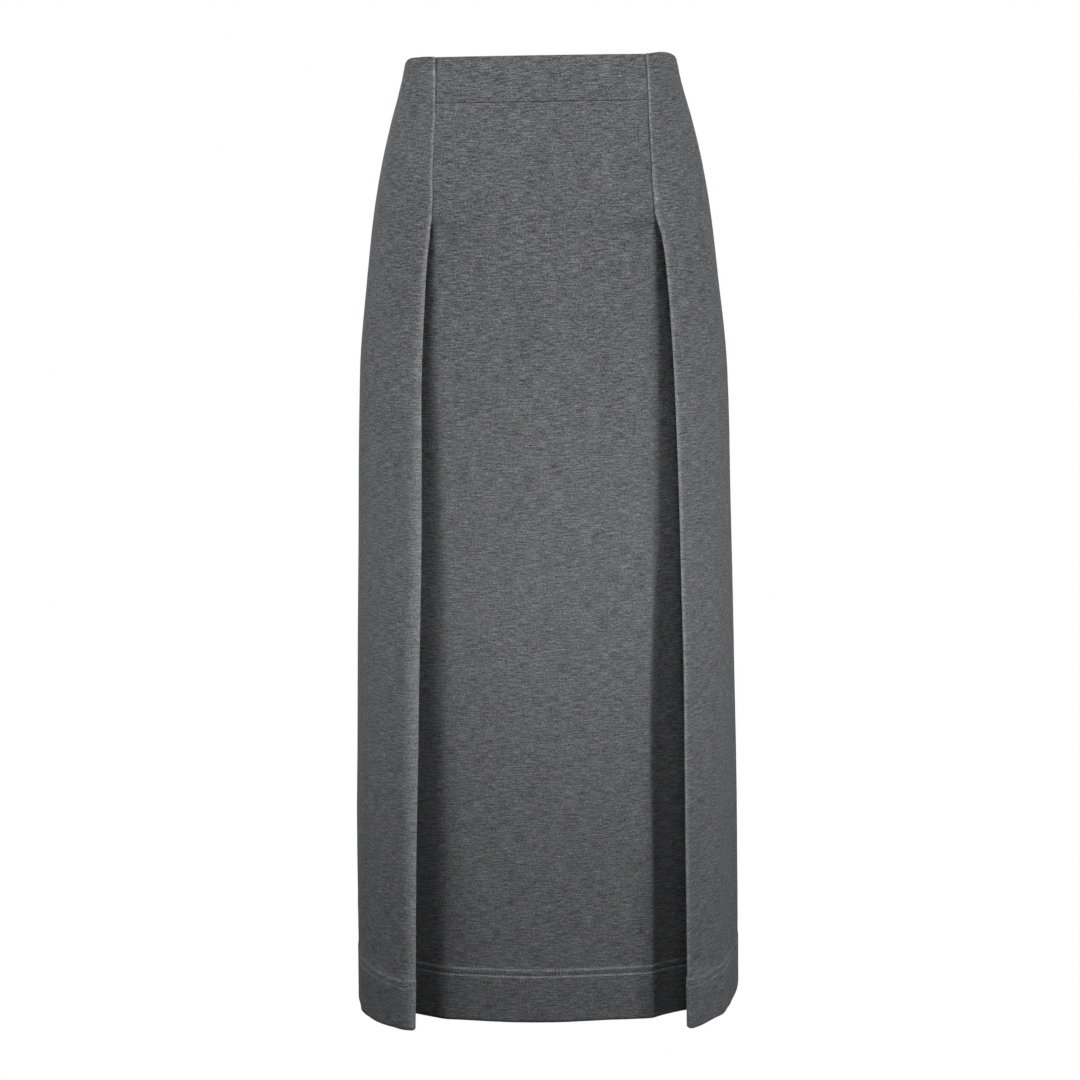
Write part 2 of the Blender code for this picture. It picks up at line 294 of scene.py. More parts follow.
def bell(value, spread):
    """1 at zero, gone about two spreads away."""
    return np.exp(-((value / spread) ** 2))


def heading(degrees):
    """The unit plan vector that points towards the middle and forwards by this angle."""
    angle = math.radians(degrees)
    return np.array([-math.cos(angle), math.sin(angle)])


def bezier(controls, faces):
    """Points on a cubic curve through four plan points, faces + 1 of them."""
    t = np.linspace(0, 1, faces + 1)[:, None]
    a, b, c, d = np.array(controls)
    return a * (1 - t) ** 3 + 3 * b * t * (1 - t) ** 2 + 3 * c * t * t * (1 - t) + d * t**3


def left_of(path):
    """Unit vectors to the left of a plan path, for someone who walks along it."""
    ahead = np.gradient(path, axis=0)
    ahead /= np.linalg.norm(ahead, axis=1)[:, None]
    return np.stack([-ahead[:, 1], ahead[:, 0]], axis=1)


def walked(path):
    """Distance from the start of a plan path to each of its points."""
    return np.concatenate([[0.0], np.cumsum(np.linalg.norm(np.diff(path, axis=0), axis=1))])


def read_at(path, values, wanted):
    """Values that a path has at its points, read at the wanted distances from its start."""
    reach = walked(path)
    return np.stack([np.interp(wanted, reach, values[:, k]) for k in (0, 1)], axis=1)


def softened(path, radius):
    """A plan path with its corners rounded off to about this radius, ends kept."""
    length = walked(path)[-1]
    fine = read_at(path, path, np.linspace(0, length, round(length / SOFTEN_STEP)))
    spread = radius / 2.5 / SOFTEN_STEP
    half = int(4 * spread) + 1
    kernel = np.exp(-0.5 * (np.arange(-half, half + 1) / spread) ** 2)
    before = 2 * fine[0] - fine[half:0:-1]
    after = 2 * fine[-1] - fine[-2 : -half - 2 : -1]
    padded = np.concatenate([before, fine, after])
    kernel /= kernel.sum()
    return np.stack([np.convolve(padded[:, k], kernel, mode="valid") for k in (0, 1)], axis=1)


def stretch(low, high, step, ends=0.35):
    """Places from low to high about a step apart, closer by this share at both ends."""
    t = np.linspace(0, 1, max(2, round(abs(high - low) / step)) + 1)
    return low + (high - low) * (t - (1 - ends) * np.sin(2 * np.pi * t) / (2 * np.pi))


def fold_lift(rows, places, drop):
    """How far the main folds lift the cloth outwards at these places."""
    lift = np.zeros(len(places))
    for row in rows:
        fold = dict(zip(FOLD_COLUMNS, row))
        grown = fold["height"] * ease(drop, fold["starts"], LENGTH)
        lift += grown * bell(places - fold["place"], fold["spread"])
    return lift


def hollow_lift(rows, places, drop):
    """How far the looser creases lift the cloth outwards at these places."""
    lift = np.zeros(len(places))
    for row in rows:
        hollow = dict(zip(HOLLOW_COLUMNS, row))
        t = np.clip((drop - hollow["top"]) / (hollow["bottom"] - hollow["top"]), 0.0, 1.0)
        place = hollow["place"] + hollow["drift"] * (t - 0.5)
        lift += hollow["height"] * math.sin(math.pi * t) ** 2 * bell(places - place, hollow["spread"])
    return lift


def wander(places, length, seed):
    """Smooth unevenness from about -1 to 1, with waves of about this length."""
    return np.array([2 * noise.noise((place / length, seed, 0.5)) for place in places])


def uneven(places, drop, seed):
    """The broad and the fine unevenness of the cloth at these places."""
    lift = np.zeros(len(places))
    for across, down, height in (RIPPLE, DIMPLE):
        lift += height * np.array(
            [2 * noise.noise((place / across, drop / down, seed)) for place in places]
        )
    return lift


def hem_lift(drop, pull):
    """How far the turned-up hem stands out at a drop, less what its rows of stitches pull in."""
    rows = sum(float(bell(drop - row, STITCH_WIDTH)) for row in STITCH_DROPS)
    return HEM_PROUD * ease(drop, HEM_STARTS, HEM_STARTS + HEM_STEP) - STITCH_SINK * rows * pull


# Each plan function below gives, for one drop, a path along the right side of the cloth with
# the wearer on its left, the distances along it where the mesh changes spacing, and the
# distance of the panel's own zero


def side_parts(drop, side):
    """A side panel on the half with side 1, or -1 mirrored: its outer face from the side seam
    to the folded edge, the turn round that edge, and the hidden underlay."""
    name = "right" if side > 0 else "left"
    fullness = RIGHT_FULLNESS if side > 0 else at(PLEATS, "left_fullness", drop)
    radius = at(TURNS, "fold_radius", drop)
    sewn = 1 - ease(drop, *SEWN_ENDS)
    lump = FOLD_LUMP * sewn * wander([drop], FOLD_LUMP_LENGTH, side * 3.7)[0]
    edge = np.array([at(EDGES, name + "_edge", drop), at(PLEATS, "edge_depth", drop)])
    to_edge = heading(at(PLEATS, name + "_turn", drop))
    outward = np.array([to_edge[1], -to_edge[0]])
    edge = edge + lump * to_edge
    last = edge - radius * to_edge + radius * outward
    seam = np.array([at(RINGS, "half_width", drop), 0.0])
    chord = np.linalg.norm(last - seam)
    bulge = seam + (0.0, fullness * chord)
    arrival = last - at(PLEATS, "edge_handle", drop) * chord * to_edge
    face = bezier((seam, bulge, arrival, last), DENSE - 1)
    from_edge = walked(face)[-1] - walked(face)
    lift = fold_lift(RIGHT_FOLDS if side > 0 else LEFT_FOLDS, from_edge, drop)
    if side < 0:
        lift = lift - at(TURNS, "left_roll", drop) * np.clip(1 - from_edge / ROLL_REACH, 0, 1) ** 2
    face = face - left_of(face) * lift[:, None]
    to_edge = face[-1] - face[-2]
    to_edge /= np.linalg.norm(to_edge)
    outward = np.array([to_edge[1], -to_edge[0]])
    middle = face[-1] - radius * outward

    angles = np.radians(np.linspace(0, 180, 2 * TURN_FACES + 1))[1:-1, None]
    turn = middle + radius * (np.cos(angles) * outward + np.sin(angles) * to_edge)

    reach = np.linspace(0, at(RINGS, "pleat_reach", drop), DENSE // 3)
    inside = face + left_of(face) * 2 * radius
    closed = read_at(inside[::-1], inside[::-1], reach)
    opened = closed[0] - reach[:, None] * heading(90 - HIDDEN_LEAN)
    opening = max(drop - RELEASE, 0.0) / (LENGTH - RELEASE)
    return face, turn, closed + opening * (opened - closed)


def side_plan(drop, side):
    parts = side_parts(drop, side)
    path = np.concatenate(parts)
    reach = walked(path)
    turn_starts = reach[len(parts[0]) - 1]
    turn_ends = reach[len(parts[0]) + len(parts[1])]
    marks = np.array([0.0, turn_starts, turn_ends, reach[-1]])
    zero = (turn_starts + turn_ends) / 2
    if side > 0:
        return path, marks, zero
    return (path * (-1, 1))[::-1], reach[-1] - marks[::-1], reach[-1] - zero


def centre_half(drop, side):
    """Half of the centre panel: its face from the middle to the crease, and the extension."""
    underlay = side_parts(drop, side)[2]
    beside = underlay - left_of(underlay) * SEAM_GAP
    parted = ease(drop, RELEASE, RELEASE + OPENS_OVER)
    name = "right" if side > 0 else "left"
    crease = np.array([at(EDGES, name + "_crease", drop), at(PLEATS, "crease_depth", drop)])
    apart = parted * (crease - beside[0])
    reach = walked(beside)
    share = np.clip(1 - reach / (reach[-1] - SEAM_ALLOWANCE), 0, 1)
    extension = beside + share[:, None] * apart
    behind = np.clip(walked(extension) / SAG_REACH, 0, 1) ** at(CREASES, "sag_power", drop)
    sag = at(CREASES, name + "_sag", drop) * np.sin(math.pi * behind)
    extension = extension - left_of(extension) * sag[:, None]
    front = at(RINGS, "front", drop)
    crease = extension[0]
    arrival = crease + CREASE_HANDLE * heading(at(PLEATS, "crease_slope", drop))
    face = bezier(((0.0, front), (crease[0] / 2, front), arrival, crease), DENSE // 2)
    return face, extension


def centre_plan(drop):
    halves, hidden = [], []
    for side in (1, -1):
        face, extension = centre_half(drop, side)
        whole = np.concatenate([face, extension[1:]])
        half = softened(whole, at(CREASES, ("right" if side > 0 else "left") + "_rounding", drop))
        halves.append(half * (side, 1))
        hidden.append(walked(extension)[-1] * walked(half)[-1] / walked(whole)[-1])
    path = np.concatenate([halves[0][::-1], halves[1][1:]])
    length = walked(path)[-1]
    marks = np.array([0.0, hidden[0], length - hidden[1], length])
    return path, marks, walked(halves[0])[-1]


def back_plan(drop):
    angles = np.linspace(-90, 90, 2 * DENSE)
    across, behind = np.sin(np.radians(angles)), np.cos(np.radians(angles))
    power = 2 / BACK_SQUARENESS
    width, depth = at(RINGS, "half_width", drop), at(RINGS, "back", drop)
    path = np.stack(
        [width * np.sign(across) * np.abs(across) ** power, -depth * np.abs(behind) ** power],
        axis=1,
    )
    path = path - left_of(path) * fold_lift(BACK_FOLDS, angles, drop)[:, None]
    length = walked(path)[-1]
    return path, np.array([0.0, length]), length / 2


def spacing_at_hem(plan, steps):
    """How many faces go along each stretch between the marks, from their widths at the hem."""
    marks = plan(LENGTH)[1]
    return [
        step if isinstance(step, int) else max(4, round((b - a) / step))
        for a, b, step in zip(marks[:-1], marks[1:], steps)
    ]


def distances(marks, counts):
    """Distances along a row for its points, closer together beside each mark."""
    parts = [np.array([marks[0]])]
    for a, b, count in zip(marks[:-1], marks[1:], counts):
        parts.append(stretch(a, b, abs(b - a) / count)[1:])
    return np.concatenate(parts)


def body_rows(top):
    """(drop, inset, distance down the cloth) of each row of a panel, from its top edge down,
    round the hem's lower fold, and up again inside."""
    turn = LENGTH - HEM_TURN
    marks = [top, RELEASE, STITCH_DROPS[0] - STITCH_ZONE, STITCH_DROPS[1] + STITCH_ZONE, turn]
    steps = [ROW_STEP, ROW_STEP, ROW_STEP_AT_STITCHES, ROW_STEP]
    drops = [np.array([top])]
    for a, b, step in zip(marks[:-1], marks[1:], steps):
        drops.append(stretch(a, b, step)[1:])
    rows = [(drop, 0.0, drop) for drop in np.concatenate(drops)]
    for angle in np.radians(np.linspace(0, 180, HEM_FOLD_FACES + 1))[1:]:
        inset = HEM_TURN * (1 - math.cos(angle))
        rows.append((turn + HEM_TURN * math.sin(angle), inset, turn + HEM_TURN * angle))
    low = rows[-1][2]
    for drop in stretch(turn, LENGTH - HEM_DEPTH, ROW_STEP)[1:]:
        rows.append((drop, 2 * HEM_TURN, low + turn - drop))
    return rows


def band_rows():
    """The same for the waist band, which has no hem."""
    return [(drop, 0.0, drop) for drop in stretch(0.0, BAND_HEIGHT - SEAM_GAP / 2, BAND_STEP)]


class Panel:
    """One panel of the skirt: the solid it stands for, its plan, its rows, its mesh steps
    between marks, its creases, a seed, and the side of its pleat's folded edge, if any."""

    def __init__(self, node, plan, rows, steps, hollows, seed, folded=""):
        self.node, self.plan, self.rows = node, plan, rows
        self.hollows, self.seed, self.folded = hollows, seed, folded
        self.counts = spacing_at_hem(plan, steps)

    def row(self, drop, inset=0.0, out=0.0, along=None):
        """Points across the panel at one drop, in metres, on its right side or this far out
        from it, with their outward vectors and their places from the panel's zero."""
        path, marks, zero = self.plan(drop)
        along = distances(marks, self.counts) if along is None else along(marks)
        places = along - zero
        held = ease(np.minimum(along, marks[-1] - along), 0, SEAM_CALM)
        calm = ease(np.abs(places), *FOLD_CALM) if self.folded else 1.0
        lift = hollow_lift(self.hollows, places, drop) + uneven(places, drop, self.seed)
        lift = held * calm * lift + hem_lift(drop, calm) * (inset == 0.0)
        inward = read_at(path, left_of(path), along)
        inward /= np.linalg.norm(inward, axis=1)[:, None]
        flat = read_at(path, path, along) + inward * (inset - lift - out)[:, None]
        wave = HEM_WAVE * held * wander(places, HEM_WAVE_LENGTH, self.seed)
        height = drop + wave * ease(drop, WAVE_STARTS, LENGTH)
        height += self.top_dip(flat, drop, places) + self.hem_dip(flat, drop, places)
        points = np.stack([flat[:, 0], -flat[:, 1], -height], axis=1) * MM
        outward = np.stack([-inward[:, 0], inward[:, 1], np.zeros(len(inward))], axis=1)
        return points, outward, places

    def top_dip(self, flat, drop, places):
        """How much lower than its row a point lies, near the top edge."""
        edge = at(RINGS, "half_width", drop)
        t = np.clip((np.abs(flat[:, 0]) - edge + CORNER_REACH) / CORNER_REACH, 0.0, 1.0)
        dip = CORNER_DIP * t**3
        if self.folded:
            place, spread, height = PROUD_TOPS[self.folded]
            dip = dip - height * bell(places - place, spread)
        tilt = -flat[:, 0] * TOP_TILT * (1 - ease(drop, TILT_STARTS, TILT_ENDS))
        return dip * (1 - ease(drop, 0, TOP_FADE)) + tilt

    def hem_dip(self, flat, drop, places):
        """How much lower than its row a point lies, near the hem and its rows of stitches."""
        edge = at(RINGS, "half_width", LENGTH)
        dip = np.zeros(len(places))
        for side, raised, reach in SEAM_HITCHES:
            dip -= raised * ease(side * flat[:, 0], edge - reach, edge + 1)
        if self.folded:
            place, spread, depth = HEM_DIPS[self.folded]
            dip += depth * bell(places - place, spread)
        dip *= ease(drop, DIPS_START, LENGTH)
        if self.folded:
            rows = ease(drop, ROWS_DIP_STARTS, STITCH_DROPS[0])
            rows *= 1 - ease(drop, STITCH_DROPS[1], LENGTH)
            dip += ROWS_DIP * rows * bell(places, ROWS_DIP_OVER)
        return dip

    def wear_and_painted_light(self, places, drop, inset):
        """How pale the cloth is at these places, from 0 to 1: fuzz and a painted highlight on a
        folded edge, a painted highlight below the stitches, and painted light by a pleat's seam.
        """
        # Painted highlight a little below each row of stitches, on the right side of the cloth
        below = drop - STITCH_HIGHLIGHT_BELOW
        sewn = sum(float(bell(below - row, STITCH_HIGHLIGHT_WIDTH)) for row in STITCH_DROPS)
        strength = SIDE_STITCH_HIGHLIGHT if self.folded else STITCH_HIGHLIGHT
        worn_and_lit = np.full(len(places), strength * sewn * (inset == 0.0))
        # A folded edge painted paler: partly fuzz, partly a painted highlight where the fold meets
        # the light
        if self.folded:
            pale = at(TURNS, self.folded + "_fuzz_highlight", drop)
            return np.maximum(worn_and_lit, pale * bell(places, at(TURNS, self.folded + "_fuzz_highlight_width", drop)))
        # Painted light in the ditch beside a pleat's sewn seam, on the band and the centre panel,
        # lifting its shade
        if self.plan is centre_plan and drop < RELEASE:
            marks, zero = centre_plan(drop)[1:]
            beside = sum(bell(places - mark + zero, SEAM_PAINTED_LIGHT_WIDTH) for mark in marks[1:3])
            return SEAM_PAINTED_LIGHT * beside
        return worn_and_lit

    def points(self):
        """Its rows of points, their places on the length of cloth in metres, and their wear and
        painted light.
        """
        points, cloth, wear_and_painted_light = [], [], []
        for drop, inset, down in self.rows:
            row, _, places = self.row(drop, inset)
            points.append(row)
            cloth.append(np.stack([places, np.full(len(places), down)], axis=1) * MM)
            wear_and_painted_light.append(self.wear_and_painted_light(places, drop, inset))
        return np.array(points), np.array(cloth), np.array(wear_and_painted_light)


def cloth_sheet(name, points, cloth, wear_and_painted_light, material):
    """A shell of jersey through rows of points, with its own UV map in metres."""
    rows, across = points.shape[:2]
    index = np.arange(rows * across).reshape(rows, across)
    corners = (index[:-1, :-1], index[:-1, 1:], index[1:, 1:], index[1:, :-1])
    quads = np.stack(corners, axis=-1).reshape(-1, 4)
    mesh = bpy.data.meshes.new(name)
    mesh.from_pydata(points.reshape(-1, 3).tolist(), [], quads.tolist())
    layer = mesh.uv_layers.new(name="cloth")
    layer.data.foreach_set("uv", cloth.reshape(-1, 2)[quads.ravel()].ravel())
    # How much paler fuzz, painted highlights and painted light make the cloth at each point
    worn_and_lit = mesh.attributes.new("wear_and_painted_light", "FLOAT", "POINT")
    worn_and_lit.data.foreach_set("value", wear_and_painted_light.ravel())
    mesh.materials.append(material)
    mesh.shade_smooth()
    sheet = bpy.data.objects.new(name, mesh)
    bpy.context.scene.collection.objects.link(sheet)
    wall = sheet.modifiers.new("cloth", "SOLIDIFY")
    wall.thickness = CLOTH * MM
    wall.offset = -1.0
    wall.use_even_offset = True
    rounding = sheet.modifiers.new("rounded_edges", "BEVEL")
    rounding.width = EDGE_ROUNDING * MM
    rounding.segments = 2
    rounding.limit_method = "ANGLE"
    rounding.angle_limit = math.radians(EDGE_ANGLE)
    rounding.use_clamp_overlap = False
    return sheet


def add(tree, kind, inputs=None, **settings):
    """A node with its settings and inputs. An input is a value or another node's socket."""
    node = tree.nodes.new(kind)
    for name, value in settings.items():
        setattr(node, name, value)
    for key, value in (inputs or {}).items():
        if isinstance(value, bpy.types.NodeSocket):
            tree.links.new(value, node.inputs[key])
        else:
            node.inputs[key].default_value = value
    return node


def maths(tree, operation, a, b=0.0, c=0.0):
    """The socket of a sum worked out in nodes."""
    return add(tree, "ShaderNodeMath", {0: a, 1: b, 2: c}, operation=operation).outputs[0]


# Streaks of fibre: their length and height in millimetres, how many degrees they lean, how
# much finer noise they hold, and how strongly they show
FIBRE_COLUMNS = ("across", "down", "lean", "detail", "weight")
FIBRES = (
    (1.7, 0.95, 4.0, 1.0, 1.15),
    (3.2, 1.10, -6.0, 1.0, 0.40),
    (6.0, 1.00, -2.5, 1.0, 0.60),
    (12.0, 1.20, 2.0, 1.0, 0.85),
    (30.0, 12.0, 9.0, 2.0, 0.22),
)


def fibres(tree, place, across, down, lean, detail):
    """Streaks of fibre of this size, from 0 to 1."""
    inputs = {
        "Vector": place,
        "Rotation": (0.0, 0.0, math.radians(lean)),
        "Scale": (across * MM, down * MM, 1.0),
    }
    laid = add(tree, "ShaderNodeMapping", inputs, vector_type="TEXTURE")
    inputs = {"Vector": laid.outputs[0], "Scale": 1.0, "Detail": detail, "Roughness": 0.5}
    return add(tree, "ShaderNodeTexNoise", inputs, noise_dimensions="2D").outputs[0]


def mixed(tree, factor, a, b, blend="MIX"):
    """The socket of two colours mixed by a factor."""
    inputs = {"Factor": factor, 6: a, 7: b}
    return add(tree, "ShaderNodeMix", inputs, data_type="RGBA", blend_type=blend).outputs[2]


# The greys that the streaks run through, the casts laid over them, and the paler colour of fuzz,
# painted highlights and painted light
DARK_GREY, MIDDLE_GREY = (0.030, 0.031, 0.034, 1), (0.128, 0.131, 0.136, 1)
PALE_GREY = (0.290, 0.296, 0.306, 1)
WARM_CAST, COOL_CAST = (1.04, 1.0, 0.965, 1), (0.96, 1.0, 1.035, 1)
FUZZ_AND_HIGHLIGHT_GAIN, FUZZ_AND_HIGHLIGHT_GREY = (2.1, 2.12, 2.14, 1), (0.36, 0.37, 0.38, 1)

# How strongly the streaks show above and below the hips, and between which drops it changes
CONTRASTS, CONTRAST_DROPS = (0.96, 0.8), (200.0, 400.0)


def melange_jersey():
    """Grey melange jersey: short dark and pale streaks of fibre along the courses, painted paler
    where fuzz, painted highlights and painted light lie.
    """
    material = bpy.data.materials.new("melange_jersey")
    material.use_nodes = True
    tree = material.node_tree
    shader = tree.nodes["Principled BSDF"]
    place = add(tree, "ShaderNodeUVMap", uv_map="cloth").outputs[0]
    tone = 0.5
    for row in FIBRES:
        facts = dict(zip(FIBRE_COLUMNS, row))
        weight = facts.pop("weight")
        streaks = maths(tree, "SUBTRACT", fibres(tree, place, **facts), 0.5)
        tone = maths(tree, "MULTIPLY_ADD", streaks, weight, tone)
    drop = add(tree, "ShaderNodeSeparateXYZ", {0: place}).outputs[1]
    inputs = {
        "Value": drop,
        "From Min": CONTRAST_DROPS[0] * MM,
        "From Max": CONTRAST_DROPS[1] * MM,
        "To Min": CONTRASTS[0],
        "To Max": CONTRASTS[1],
    }
    contrast = add(tree, "ShaderNodeMapRange", inputs).outputs[0]
    tone = maths(tree, "MULTIPLY_ADD", maths(tree, "SUBTRACT", tone, 0.5), contrast, 0.5)
    ramp = add(tree, "ShaderNodeValToRGB", {"Fac": tone})
    ramp.color_ramp.elements[0].color = DARK_GREY
    ramp.color_ramp.elements[1].color = PALE_GREY
    middle = ramp.color_ramp.elements.new(0.5)
    middle.color = MIDDLE_GREY
    cast = ease_node(tree, fibres(tree, place, 4.5, 1.3, 2.0, 1.0), 0.3, 0.7)
    tint = mixed(tree, cast, WARM_CAST, COOL_CAST)
    grey = mixed(tree, 1.0, ramp.outputs[0], tint, "MULTIPLY")
    # Fuzz, painted highlights and painted light: the grey made paler, unevenly, where the point
    # attribute says
    wear_and_painted_light = add(tree, "ShaderNodeAttribute", attribute_name="wear_and_painted_light").outputs["Fac"]
    fuzz = ease_node(tree, fibres(tree, place, 2.4, 3.5, 0.0, 2.0), 0.25, 0.65)
    worn_and_lit = maths(tree, "MULTIPLY", wear_and_painted_light, maths(tree, "MULTIPLY_ADD", fuzz, 0.6, 0.5))
    paler_for_fuzz_and_highlight = mixed(tree, 1.0, grey, FUZZ_AND_HIGHLIGHT_GAIN, "MULTIPLY")
    colour = mixed(tree, worn_and_lit, grey, mixed(tree, 0.25, paler_for_fuzz_and_highlight, FUZZ_AND_HIGHLIGHT_GREY))
    tree.links.new(colour, shader.inputs["Base Color"])
    shader.inputs["Roughness"].default_value = 0.94
    shader.inputs["Specular IOR Level"].default_value = 0.25
    shader.inputs["Sheen Weight"].default_value = 0.12
    shader.inputs["Sheen Roughness"].default_value = 0.55
    shader.inputs["Sheen Tint"].default_value = (0.80, 0.84, 0.90, 1)
    height = maths(tree, "MULTIPLY_ADD", tone, 0.8, knit_height(tree, place))
    bump = add(tree, "ShaderNodeBump", {"Strength": 0.55, "Distance": 0.00028, "Height": height})
    tree.links.new(bump.outputs[0], shader.inputs["Normal"])
    return material


def ease_node(tree, value, low, high):
    """0 below low, 1 above high, smooth between."""
    inputs = {"Value": value, "From Min": low, "From Max": high}
    return add(tree, "ShaderNodeMapRange", inputs, interpolation_type="SMOOTHSTEP").outputs[0]


def ridges(tree, value, pitch):
    """Even ridges across a measure of the cloth, from -1 to 1, this many millimetres apart."""
    return maths(tree, "SINE", maths(tree, "MULTIPLY", value, 2 * math.pi / (pitch * MM)))


def knit_height(tree, place):
    """The wales and courses of the knit, and the pull of the hem's stitches on it."""
    parts = add(tree, "ShaderNodeSeparateXYZ", {0: place}).outputs
    across, down = parts[0], parts[1]
    wale, course = ridges(tree, across, WALE), ridges(tree, down, COURSE)
    knit = maths(tree, "MULTIPLY_ADD", wale, 0.30, maths(tree, "MULTIPLY", course, 0.25))
    pull = ridges(tree, across, STITCH_PITCH)
    middle = sum(STITCH_DROPS) / 2 * MM
    away = maths(tree, "ABSOLUTE", maths(tree, "SUBTRACT", down, middle))
    near = maths(tree, "SUBTRACT", 1.0, maths(tree, "DIVIDE", away, PULL_REACH * MM))
    near = maths(tree, "MAXIMUM", near, 0.0)
    return maths(tree, "MULTIPLY_ADD", maths(tree, "MULTIPLY", pull, near), 0.9, knit)


def sewing_thread():
    """Matt spun thread, a little paler than the cloth."""
    material = bpy.data.materials.new("sewing_thread")
    material.use_nodes = True
    tree = material.node_tree
    shader = tree.nodes["Principled BSDF"]
    place = add(tree, "ShaderNodeTexCoord").outputs["Object"]
    twist = add(tree, "ShaderNodeTexNoise", {"Vector": place, "Scale": 1600.0, "Detail": 1.0})
    ramp = add(tree, "ShaderNodeValToRGB", {"Fac": twist.outputs[0]})
    ramp.color_ramp.elements[0].color = (0.16, 0.163, 0.168, 1)
    ramp.color_ramp.elements[1].color = (0.44, 0.445, 0.45, 1)
    tree.links.new(ramp.outputs[0], shader.inputs["Base Color"])
    shader.inputs["Roughness"].default_value = 0.7
    return material


def geometry_tree(name, sizes):
    """A Geometry Nodes tree with a guide, named sizes and a thread material going in."""
    tree = bpy.data.node_groups.new(name, "GeometryNodeTree")
    tree.interface.new_socket("Guide", in_out="INPUT", socket_type="NodeSocketGeometry")
    for size in sizes:
        tree.interface.new_socket(size, in_out="INPUT", socket_type="NodeSocketFloat")
    tree.interface.new_socket("Seed", in_out="INPUT", socket_type="NodeSocketInt")
    tree.interface.new_socket("Thread", in_out="INPUT", socket_type="NodeSocketMaterial")
    tree.interface.new_socket("Sewing", in_out="OUTPUT", socket_type="NodeSocketGeometry")
    return tree, tree.nodes.new("NodeGroupInput").outputs


def finish_tree(tree, sewing, thread):
    """Realizes the sewing, gives it its thread and sends it out."""
    real = add(tree, "GeometryNodeRealizeInstances", {0: sewing})
    smooth = add(tree, "GeometryNodeSetShadeSmooth", {0: real.outputs[0]})
    dressed = add(
        tree, "GeometryNodeSetMaterial", {"Geometry": smooth.outputs[0], "Material": thread}
    )
    tree.links.new(dressed.outputs[0], tree.nodes.new("NodeGroupOutput").inputs[0])


def vector(tree, x=0.0, y=0.0, z=0.0):
    """The socket of a vector put together in nodes."""
    return add(tree, "ShaderNodeCombineXYZ", {0: x, 1: y, 2: z}).outputs[0]


def places_along(tree, given):
    """Places a pitch apart along a tree's guide."""
    line = add(tree, "GeometryNodeMeshToCurve", {0: given["Guide"]}).outputs[0]
    inputs = {"Curve": line, "Length": given["Pitch"]}
    return add(tree, "GeometryNodeResampleCurve", inputs, mode="LENGTH").outputs[0]


def outward_of(tree):
    """The outward vector that a guide keeps at its points."""
    inputs = {"Name": "outward"}
    return add(tree, "GeometryNodeInputNamedAttribute", inputs, data_type="FLOAT_VECTOR").outputs[0]


def running_stitch_tree():
    """Short arched stitches along a guide, each a little different."""
    tree, given = geometry_tree("running_stitch", ("Pitch", "Stitch length", "Thread radius"))
    places = places_along(tree, given)
    half = maths(tree, "MULTIPLY", given["Stitch length"], 0.5)
    sunk = maths(tree, "MULTIPLY", given["Thread radius"], -1.6)
    proud = maths(tree, "MULTIPLY", given["Thread radius"], 2.0)
    inputs = {
        "Resolution": 5,
        "Start": vector(tree, maths(tree, "MULTIPLY", half, -1.0), 0.0, sunk),
        "Middle": vector(tree, 0.0, 0.0, proud),
        "End": vector(tree, half, 0.0, sunk),
    }
    arch = add(tree, "GeometryNodeCurveQuadraticBezier", inputs).outputs[0]
    inputs = {"Resolution": 6, "Radius": given["Thread radius"]}
    round_thread = add(tree, "GeometryNodeCurvePrimitiveCircle", inputs).outputs[0]
    inputs = {"Curve": arch, "Profile Curve": round_thread, "Fill Caps": True}
    stitch = add(tree, "GeometryNodeCurveToMesh", inputs).outputs[0]
    tangent = add(tree, "GeometryNodeInputTangent").outputs[0]
    along = add(tree, "FunctionNodeAlignRotationToVector", {"Vector": tangent}, axis="X")
    inputs = {"Rotation": along.outputs[0], "Vector": outward_of(tree)}
    turned = add(tree, "FunctionNodeAlignRotationToVector", inputs, axis="Z", pivot_axis="X")
    size = add(
        tree,
        "FunctionNodeRandomValue",
        {0: (0.86, 0.9, 0.6), 1: (1.06, 1.1, 1.35), "Seed": given["Seed"]},
        data_type="FLOAT_VECTOR",
    ).outputs[0]
    inputs = {"Points": places, "Instance": stitch, "Rotation": turned.outputs[0], "Scale": size}
    row = add(tree, "GeometryNodeInstanceOnPoints", inputs).outputs[0]
    finish_tree(tree, row, given["Thread"])
    return tree


def looper_zigzag_tree():
    """The looper threads inside the hem, which cross its raw edge from row to row."""
    tree, given = geometry_tree("looper_zigzag", ("Pitch", "Height", "Step out", "Thread radius"))
    places = places_along(tree, given)
    index = add(tree, "GeometryNodeInputIndex").outputs[0]
    odd = maths(tree, "MODULO", index, 2.0)
    up = maths(tree, "MULTIPLY", maths(tree, "SUBTRACT", odd, 0.5), given["Height"])
    out = maths(tree, "MULTIPLY", odd, given["Step out"])
    inputs = {0: outward_of(tree), 3: out}
    step = add(tree, "ShaderNodeVectorMath", inputs, operation="SCALE").outputs[0]
    move = add(tree, "ShaderNodeVectorMath", {0: vector(tree, 0.0, 0.0, up), 1: step})
    zigzag = add(tree, "GeometryNodeSetPosition", {"Geometry": places, "Offset": move.outputs[0]})
    inputs = {"Resolution": 5, "Radius": given["Thread radius"]}
    round_thread = add(tree, "GeometryNodeCurvePrimitiveCircle", inputs).outputs[0]
    inputs = {"Curve": zigzag.outputs[0], "Profile Curve": round_thread, "Fill Caps": True}
    thread = add(tree, "GeometryNodeCurveToMesh", inputs).outputs[0]
    finish_tree(tree, thread, given["Thread"])
    return tree


